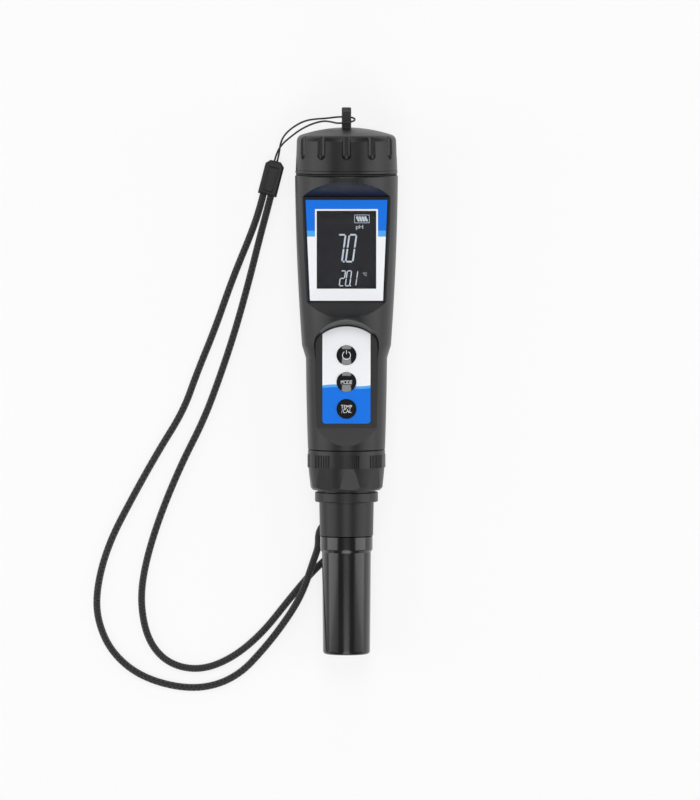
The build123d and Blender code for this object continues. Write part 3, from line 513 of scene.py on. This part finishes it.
def add_bar(mesh, length, width, x, y, turn):
    """A flat bar with pointed ends, as a display's segment has."""
    made = bmesh.ops.create_circle(mesh, cap_ends=True, segments=6, radius=width / 2 / 0.866)
    tip = width / 2 / 0.866
    stretch = length / 2 - tip
    for vertex in made["verts"]:
        vertex.co.y += math.copysign(stretch, vertex.co.y)
    place = Matrix.Translation((x, y, 0)) @ Matrix.Rotation(turn, 4, "Z")
    bmesh.ops.transform(mesh, matrix=place, verts=made["verts"])


def add_digit(mesh, sign, x, height, width, line):
    """One seven-segment digit whose lower left corner is at (x, 0)."""
    half = height / 2
    bars = {
        "a": (x + width / 2, height, width, 90),
        "g": (x + width / 2, half, width, 90),
        "d": (x + width / 2, 0, width, 90),
        "b": (x + width, half * 1.5, half, 0),
        "c": (x + width, half * 0.5, half, 0),
        "f": (x, half * 1.5, half, 0),
        "e": (x, half * 0.5, half, 0),
    }
    for key in DIGIT_BARS[sign]:
        centre_x, centre_y, length, turn = bars[key]
        add_bar(mesh, length - 0.5 * line, line, centre_x, centre_y, math.radians(turn))


def add_reading(name, text, height, row, material, sizes):
    """A row of digits with its decimal point, set out from its right end."""
    width, pitch, line = row["width"], row["pitch"], row["line"]
    mesh = bmesh.new()
    digits = text.replace(".", "")
    start = row["right"] - pitch * (len(digits) - 1) - width
    for index, sign in enumerate(digits):
        add_digit(mesh, sign, start + pitch * index, height, width, line)
    point_x = start + pitch * text.index(".") - (pitch - width) / 2
    made = bmesh.ops.create_circle(mesh, cap_ends=True, segments=12, radius=line * 0.55)
    bmesh.ops.translate(mesh, vec=(point_x, 0, 0), verts=made["verts"])
    bmesh.ops.solidify(mesh, geom=mesh.faces[:], thickness=SIGN_THICKNESS)
    place = on_face(0, row["low"], sizes.panel_lift, sizes.slant)
    return piece_from(mesh, name, material, "housing", place)


def add_words(name, text, width, height, x, station, lift, material, body):
    """Lettering of a set width and height, made a mesh before it is placed."""
    curve = bpy.data.curves.new(name, "FONT")
    curve.body = text
    curve.align_x = "CENTER"
    curve.align_y = "CENTER"
    curve.space_line = 0.8
    curve.extrude = 0.01
    made = bpy.data.objects.new(name, curve)
    mesh_data = bpy.data.meshes.new_from_object(made)
    bpy.data.objects.remove(made)
    mesh = bmesh.new()
    mesh.from_mesh(mesh_data)
    bpy.data.meshes.remove(mesh_data)
    bmesh.ops.remove_doubles(mesh, verts=mesh.verts, dist=0.0001)
    lows = [min(v.co[axis] for v in mesh.verts) for axis in range(3)]
    highs = [max(v.co[axis] for v in mesh.verts) for axis in range(3)]
    middle = Vector([(a + b) / 2 for a, b in zip(lows, highs)])
    bmesh.ops.translate(mesh, vec=-middle, verts=mesh.verts)
    spans = [b - a for a, b in zip(lows, highs)]
    wanted = (width, height, LETTER_THICKNESS)
    bmesh.ops.scale(mesh, vec=[size / span for size, span in zip(wanted, spans)], verts=mesh.verts)
    return piece_from(mesh, name, material, body, on_face(x, station, lift))


def paint(name, material):
    """Gives a CAD node its material."""
    slots = frame["nodes"][name].data.materials
    slots.clear()
    slots.append(material)


class OBJECT_OT_pen_plastics(bpy.types.Operator):
    """Give the moulded, metal and glass parts their finishes"""

    bl_idname = "object.pen_plastics"
    bl_label = "Plastics"

    def execute(self, context):
        colours = context.scene.pen_colours
        # Satin ABS, spark-eroded mould: soft broad highlights and a very fine grain
        satin = moulded("satin_abs", colours.body, 0.38, 0.45, 0.012)
        # Polished ABS: a sharper streak of light down a turned form
        gloss = moulded("polished_abs", colours.gloss, 0.2, 0.8, 0.003, coat=0.25)
        # Keys under a hard glossy lacquer that mirror the softboxes
        key = moulded("lacquered_key", colours.gloss, 0.08, 1.2, 0.002, coat=0.6)
        # Pressed silicone: matt and darker than the plastic round it
        rubber = moulded("silicone_rubber", hex_colour("#0B0B0C"), 0.62, 0.3, 0.01)
        # Solder mask over copper: deep green with a soft shine
        board = moulded("solder_resist", hex_colour("#0E4A26"), 0.4, 0.5, 0.01)
        # Chip epoxy: dull charcoal
        epoxy = moulded("moulded_epoxy", hex_colour("#141416"), 0.55, 0.25, 0.01)
        # Nickel-plated spring steel: grey metal with a broad shine
        steel = moulded("plated_steel", hex_colour("#B4B4B6"), 0.28, 0.2, 0.004, metallic=1.0, mottle=0.04)
        # Plated contact pins: warm and bright
        gold = moulded("gold_plate", hex_colour("#D9A94E"), 0.22, 0.2, 0.002, metallic=1.0, mottle=0.04)
        # Shrink-wrapped battery: smooth dark blue film
        cell = moulded("wrapped_cell", hex_colour("#26324A"), 0.3, 0.6, 0.004)
        # Milky polycarbonate that spreads the backlight
        ivory = moulded("diffuser_plastic", hex_colour("#DAD9D4"), 0.45, 0.4, 0.008, mottle=0.04)
        # Fired porous ceramic: chalky and off-white
        ceramic = moulded("porous_ceramic", hex_colour("#E2DCCB"), 0.7, 0.15, 0.03, mottle=0.06)
        # Pressed graphite: grey-black with a slight shine
        graphite = moulded("pressed_graphite", hex_colour("#26262A"), 0.45, 0.2, 0.01)
        # Cut cellulose: rough, yellow and open
        sponge = moulded("cellulose_sponge", hex_colour("#C8B65A"), 0.9, 0.5, 0.25)
        # Blown pH glass: clear, thin and faintly blue
        glass = clear("sensing_glass", (0.95, 0.97, 1.0, 1.0), 0.02)
        # Moulded clear acrylic over the display
        window = clear("clear_window", (0.93, 0.94, 0.96, 1.0), 0.03)
        # The display's dark glass, almost without grain
        panel = moulded("display_glass", colours.display, 0.25, 2.0, 0.001, mottle=0.05)
        finishes = {
            satin: "housing cap_ring battery_cap lanyard_eye lock_collar stop_ring probe_body lanyard_clip"
            " battery_tray",
            gloss: "probe_cap",
            key: "calibration_button mode_button power_button",
            rubber: "keypad_seal neck_seal_ring cap_gasket probe_seal_ring probe_cap_seal",
            board: "main_board",
            epoxy: "board_components tactile_switches probe_socket",
            steel: "board_screws tray_contacts contact_plate temperature_sensor",
            gold: "probe_pins",
            cell: "battery_cell_left battery_cell_right",
            ivory: "display_carrier",
            ceramic: "reference_junction",
            graphite: "conductivity_pins",
            sponge: "soaking_sponge",
            glass: "ph_bulb",
            window: "display_window",
            panel: "display_panel",
        }
        for material, names in finishes.items():
            for name in names.split():
                paint(name, material)
        return {"FINISHED"}


class OBJECT_OT_pen_labels(bpy.types.Operator):
    """Print both labels"""

    bl_idname = "object.pen_labels"
    bl_label = "Labels"

    def execute(self, context):
        scene = context.scene
        paint("display_label", display_print(scene.pen_colours, scene.pen_display))
        paint("keypad_label", keypad_print(scene.pen_colours, scene.pen_keypad))
        return {"FINISHED"}


class OBJECT_OT_pen_display(bpy.types.Operator):
    """Add the reading, the temperature, the units and the battery sign"""

    bl_idname = "object.pen_display"
    bl_label = "Display"

    def execute(self, context):
        sizes = context.scene.pen_display
        glow = lit("lit_segments", context.scene.pen_colours.digits, 0.55)
        add_reading("reading_digits", "7.0", sizes.big_digit, READING, glow, sizes)
        add_reading("temperature_digits", "20.1", sizes.small_digit, TEMPERATURE, glow, sizes)
        add_words("unit_sign", "pH", 2.6, 1.9, 4.8, 158.0, sizes.panel_lift, glow, "housing")
        add_words("degree_sign", "°C", 1.5, 1.2, 6.8, 140.8, sizes.panel_lift, glow, "housing")
        mesh = bmesh.new()
        for index in range(4):
            add_bar(mesh, *BATTERY_BAR, (index - 1.5) * BATTERY_BAR_PITCH, 0, BATTERY_BAR_LEAN)
        wide, high = BATTERY_OUTLINE
        for y in (high / 2, -high / 2):
            add_bar(mesh, wide, BATTERY_OUTLINE_LINE, 0, y, math.radians(90))
        for x in (-wide / 2, wide / 2):
            add_bar(mesh, high, BATTERY_OUTLINE_LINE, x, 0, 0)
        bmesh.ops.solidify(mesh, geom=mesh.faces[:], thickness=SIGN_THICKNESS)
        place = on_face(*BATTERY_PLACE, sizes.panel_lift)
        piece_from(mesh, "battery_sign", glow, "housing", place)
        return {"FINISHED"}


class OBJECT_OT_pen_legends(bpy.types.Operator):
    """Print the keys' signs"""

    bl_idname = "object.pen_legends"
    bl_label = "Key legends"

    def execute(self, context):
        sizes = context.scene.pen_keypad
        # Pad-printed white ink: flat beside the keys' lacquer
        ink = moulded("white_key_ink", hex_colour("#E6E8EC"), 0.45, 0.3, 0.002, mottle=0.03)
        lift = sizes.face_lift
        add_words(
            "calibration_words", "TEMP\n/CAL", sizes.letter_width, 2.9, 0, sizes.first_key, lift, ink,
            "calibration_button",
        )
        add_words(
            "mode_word", "MODE", sizes.letter_width, 1.4, 0, sizes.first_key + sizes.pitch, lift, ink,
            "mode_button",
        )
        mesh = bmesh.new()
        grid = bmesh.ops.create_grid(mesh, x_segments=1, y_segments=1, size=sizes.line / 2)
        upright = Matrix.Rotation(math.pi / 2, 3, "X")
        bmesh.ops.rotate(mesh, cent=(0, 0, 0), matrix=upright, verts=grid["verts"])
        bmesh.ops.scale(mesh, vec=(1, 1, 0.1), verts=grid["verts"])
        bmesh.ops.translate(mesh, vec=(sizes.power_radius, 0, 0), verts=grid["verts"])
        gap = math.radians(60)
        bmesh.ops.rotate(
            mesh, cent=(0, 0, 0), matrix=Matrix.Rotation(math.pi / 2 + gap / 2, 3, "Z"), verts=grid["verts"]
        )
        bmesh.ops.spin(
            mesh, geom=mesh.verts[:] + mesh.edges[:] + mesh.faces[:], cent=(0, 0, 0), axis=(0, 0, 1),
            angle=2 * math.pi - gap, steps=28, use_merge=False, use_duplicate=False,
        )
        bar = bmesh.ops.create_cube(mesh, size=1)
        bmesh.ops.scale(mesh, vec=(sizes.line, sizes.power_radius * 0.95, 0.03), verts=bar["verts"])
        bmesh.ops.translate(mesh, vec=(0, sizes.power_radius * 0.75, 0), verts=bar["verts"])
        station = sizes.first_key + 2 * sizes.pitch
        piece_from(mesh, "power_sign", ink, "power_button", on_face(0, station, lift))
        return {"FINISHED"}


def laid_cord(name, route, diameter, material):
    """A smooth round cord whose spline has the route's points as its control points."""
    curve = bpy.data.curves.new(name, "CURVE")
    curve.dimensions = "3D"
    spline = curve.splines.new("NURBS")
    spline.points.add(len(route) - 1)
    for point, place in zip(spline.points, route):
        point.co = (*place, 1.0)
    spline.order_u = 3
    spline.use_endpoint_u = True
    curve.resolution_u = 8
    curve.bevel_depth = diameter / 2
    curve.bevel_resolution = 4
    curve.use_fill_caps = True
    made = bpy.data.objects.new(name, curve)
    bpy.context.scene.collection.objects.link(made)
    curve.materials.append(material)
    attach(made, "battery_cap")
    return made


class OBJECT_OT_pen_lanyard(bpy.types.Operator):
    """Lay the string and the wrist cord"""

    bl_idname = "object.pen_lanyard"
    bl_label = "Lanyard"

    def execute(self, context):
        sizes = context.scene.pen_lanyard
        tint = context.scene.pen_colours.cord
        cord_braid = braid("braided_polyester", tint, sizes.pick, sizes.cord_length, sizes.cord)
        string_braid = braid("fine_braided_string", tint, sizes.string, sizes.string_length, sizes.string)
        cord = laid_cord("wrist_cord_braid", CORD_ROUTE, sizes.cord * MM, cord_braid)
        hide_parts("wrist_cord")
        string = laid_cord("lanyard_string_braid", STRING_ROUTE, sizes.string * MM, string_braid)
        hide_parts("lanyard_string")
        return {"FINISHED"}


def area_lamp(name, power, size, place):
    """A softbox at a place in metres, turned towards the pen's middle."""
    lamp = bpy.data.lights.new(name, "AREA")
    lamp.shape = "RECTANGLE"
    lamp.size, lamp.size_y = size
    lamp.energy = power
    made = bpy.data.objects.new(name, lamp)
    made.location = place
    made.rotation_euler = (LAMP_AIM - Vector(place)).to_track_quat("-Z", "Y").to_euler()
    bpy.context.scene.collection.objects.link(made)
    return made


class OBJECT_OT_pen_studio(bpy.types.Operator):
    """Build the white table, the softboxes and the camera"""

    bl_idname = "object.pen_studio"
    bl_label = "Studio"

    def execute(self, context):
        sizes = context.scene.pen_studio
        material, tree = new_material("white_table")
        rays = node(tree, "ShaderNodeLightPath")
        seen = sum_of(tree, "MAXIMUM", rays.outputs["Is Camera Ray"], rays.outputs["Is Glossy Ray"])
        seen = sum_of(tree, "MAXIMUM", seen, rays.outputs["Is Transmission Ray"])
        paper = node(tree, "ShaderNodeBsdfDiffuse", {"Color": hex_colour("#F2F2F2")})
        white = node(tree, "ShaderNodeEmission", {"Color": (1.0, 1.0, 1.0, 1.0), "Strength": 1.0})
        mixed = node(
            tree,
            "ShaderNodeMixShader",
            {0: sum_of(tree, "MULTIPLY", seen, 0.8), 1: paper.outputs[0], 2: white.outputs[0]},
        )
        finish_material(tree, mixed)
        mesh = bmesh.new()
        bmesh.ops.create_grid(mesh, x_segments=1, y_segments=1, size=sizes.floor * MM / 2)
        data = bpy.data.meshes.new("table")
        mesh.to_mesh(data)
        mesh.free()
        data.materials.append(material)
        table = bpy.data.objects.new("table", data)
        context.scene.collection.objects.link(table)
        for name, side in (("left", -1), ("right", 1)):
            area_lamp(name + "_softbox", sizes.side_power, SIDE_LAMP, (SIDE_REACH * side, 0, SIDE_HEIGHT))
        for name, side in (("head", 1), ("foot", -1)):
            place = (0, TOP_REACH * side, TOP_HEIGHT)
            area_lamp(name + "_top_softbox", sizes.top_power, TOP_LAMP, place).visible_camera = False
            place = (0, END_REACH * side, END_HEIGHT)
            area_lamp(name + "_end_softbox", sizes.end_power, END_LAMP, place).visible_camera = False
        world = bpy.data.worlds.new("studio_air")
        world.use_nodes = True
        world.node_tree.nodes["Background"].inputs["Color"].default_value = (1.0, 1.0, 1.0, 1.0)
        world.node_tree.nodes["Background"].inputs["Strength"].default_value = 0.2
        context.scene.world = world
        lens = bpy.data.cameras.new("camera")
        lens.sensor_fit = "VERTICAL"
        lens.sensor_height = 36.0
        lens.lens = 36.0 * (sizes.camera_height - sizes.focus_height) / sizes.view_height
        camera = bpy.data.objects.new("camera", lens)
        camera.location = (sizes.centre_x * MM, sizes.centre_y * MM, sizes.camera_height * MM)
        context.scene.collection.objects.link(camera)
        context.scene.camera = camera
        context.scene.view_settings.view_transform = "Standard"
        return {"FINISHED"}


class VIEW3D_PT_pen(bpy.types.Panel):
    """Lists the pen's steps"""

    bl_label = "Tester Pen"
    bl_space_type = "VIEW_3D"
    bl_region_type = "UI"
    bl_category = "Tester Pen"

    def draw(self, context):
        for step in STEPS:
            self.layout.operator(step.bl_idname)


STEPS = (
    OBJECT_OT_pen_plastics,
    OBJECT_OT_pen_labels,
    OBJECT_OT_pen_display,
    OBJECT_OT_pen_legends,
    OBJECT_OT_pen_lanyard,
    OBJECT_OT_pen_studio,
)
GROUPS = {
    "pen_colours": PenColours,
    "pen_display": DisplaySizes,
    "pen_keypad": KeypadSizes,
    "pen_lanyard": LanyardSizes,
    "pen_studio": StudioSizes,
}


def register():
    for made in (*GROUPS.values(), *STEPS, VIEW3D_PT_pen):
        bpy.utils.register_class(made)
    for name, group in GROUPS.items():
        setattr(bpy.types.Scene, name, bpy.props.PointerProperty(type=group))


def unregister():
    for name in GROUPS:
        delattr(bpy.types.Scene, name)
    for made in (VIEW3D_PT_pen, *reversed(STEPS), *reversed(GROUPS.values())):
        bpy.utils.unregister_class(made)


def main():
    register()
    bpy.ops.object.pen_plastics()
    bpy.ops.object.pen_labels()
    bpy.ops.object.pen_display()
    bpy.ops.object.pen_legends()
    bpy.ops.object.pen_lanyard()
    bpy.ops.object.pen_studio()


if __name__ == "__main__":
    main()
